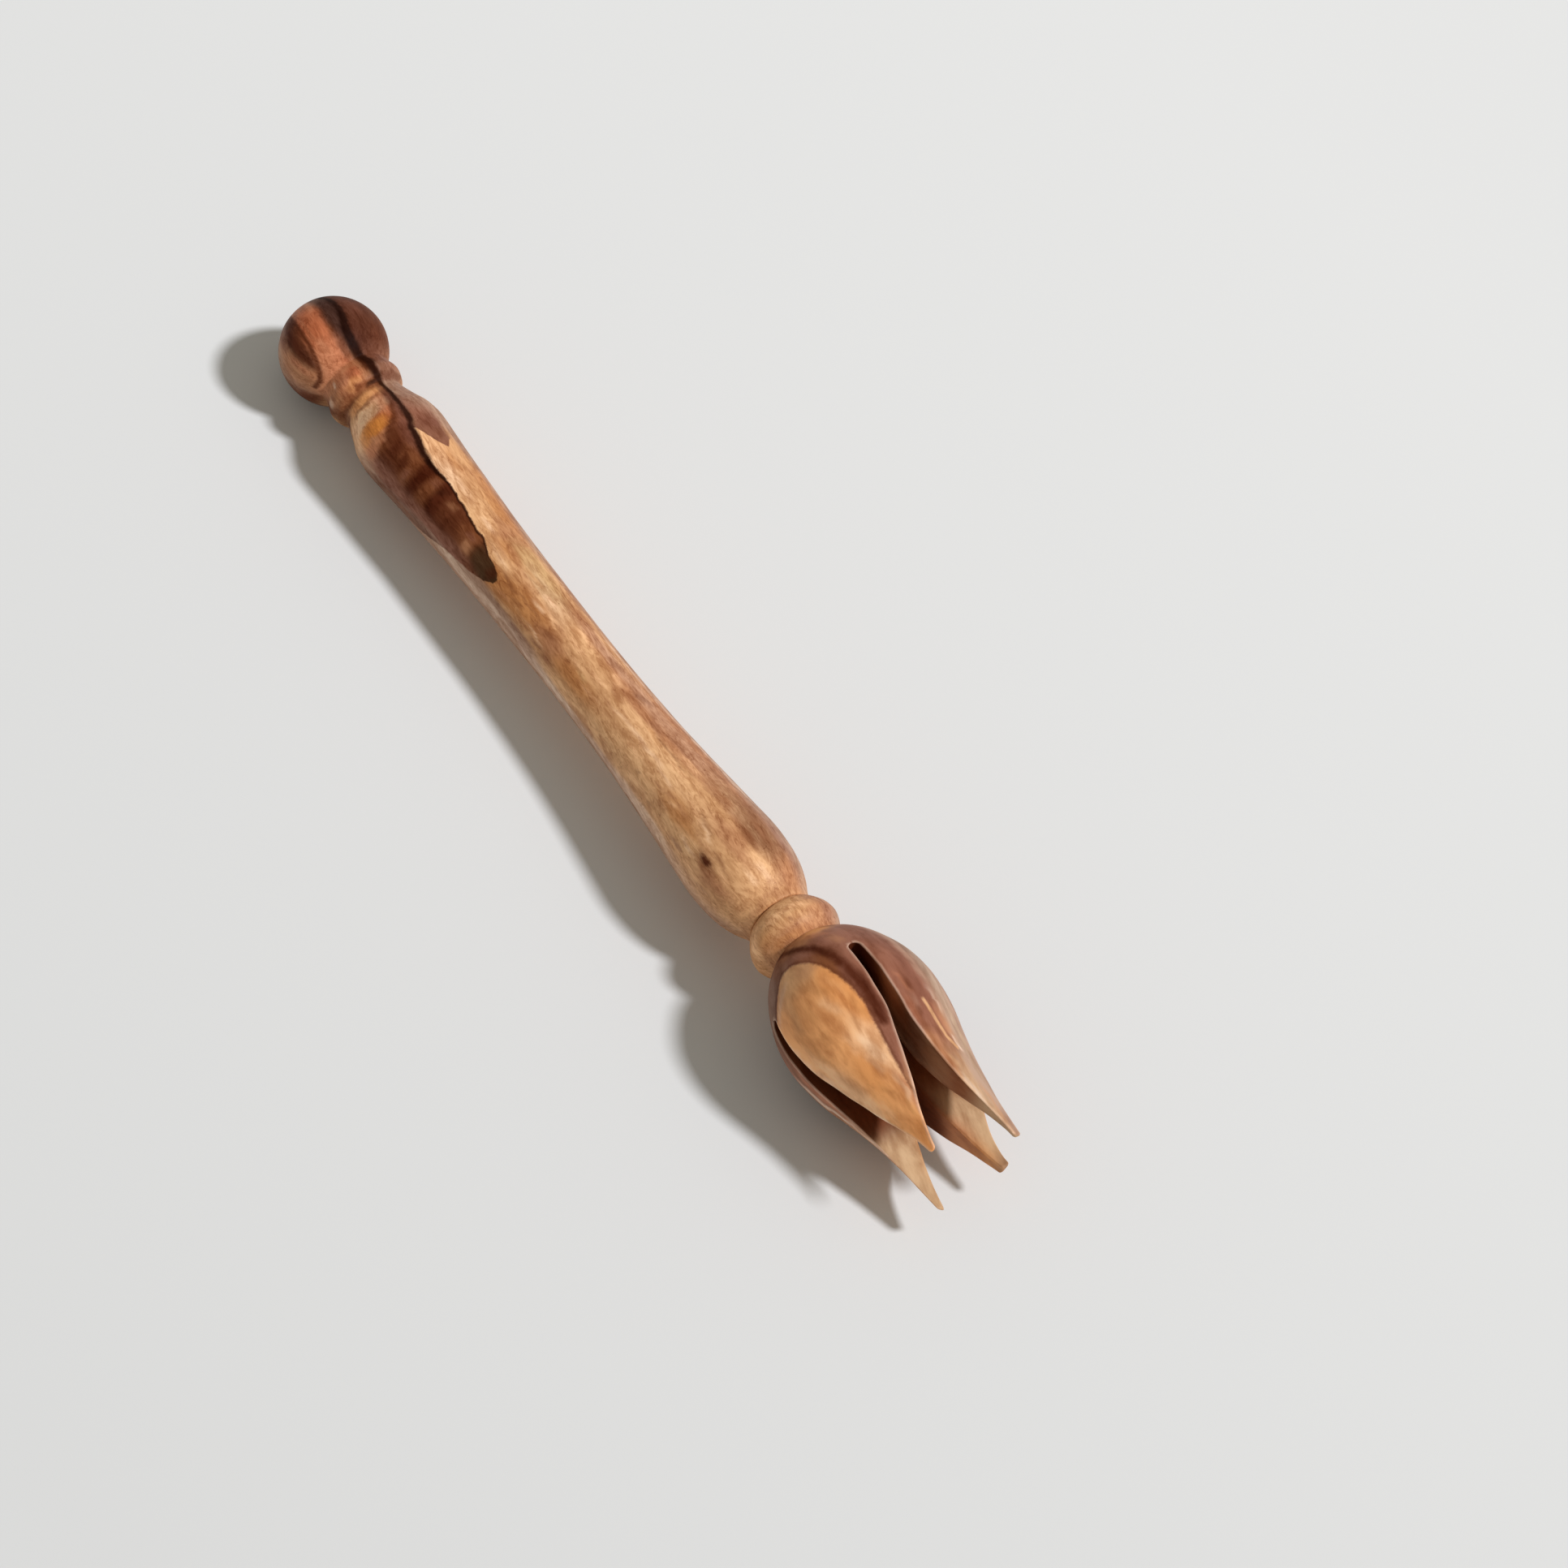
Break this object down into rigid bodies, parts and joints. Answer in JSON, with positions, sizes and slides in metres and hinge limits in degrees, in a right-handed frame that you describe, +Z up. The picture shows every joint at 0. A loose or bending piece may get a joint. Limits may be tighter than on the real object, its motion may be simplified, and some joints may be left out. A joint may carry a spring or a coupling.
{
  "type": "drop spindle",
  "caption": "Turned wooden hand spindle: ball pommel, beaded vase-shaped shaft, rounded collar ring and a tulip head saw-cut into four pointed petals.",
  "frame": {"origin": "on the surface the spindle lies on, below the middle of its length", "axes": "+X along the spindle from the ball to the petals, +Z up from the surface, +Y across"},
  "size_m": [0.2516, 0.0342, 0.0342],
  "materials": {
    "handle_wood": "oiled satin, light tan with dark heartwood streaks",
    "ring_wood": "oiled satin, pale sapwood",
    "head_wood": "oiled satin, orange-brown with purple-brown root"
  },
  "bodies": {
    "handle_body": {"handle": "handle_wood"},
    "head_body": {"collar_ring": "ring_wood", "tulip_head": "head_wood"}
  },
  "joints": [
    {"name": "head_pull", "type": "slide", "parent": "handle_body", "child": "head_body", "axis": [0.9995, 0, 0.0303], "range_m": [0, 0.015]}
  ]
}
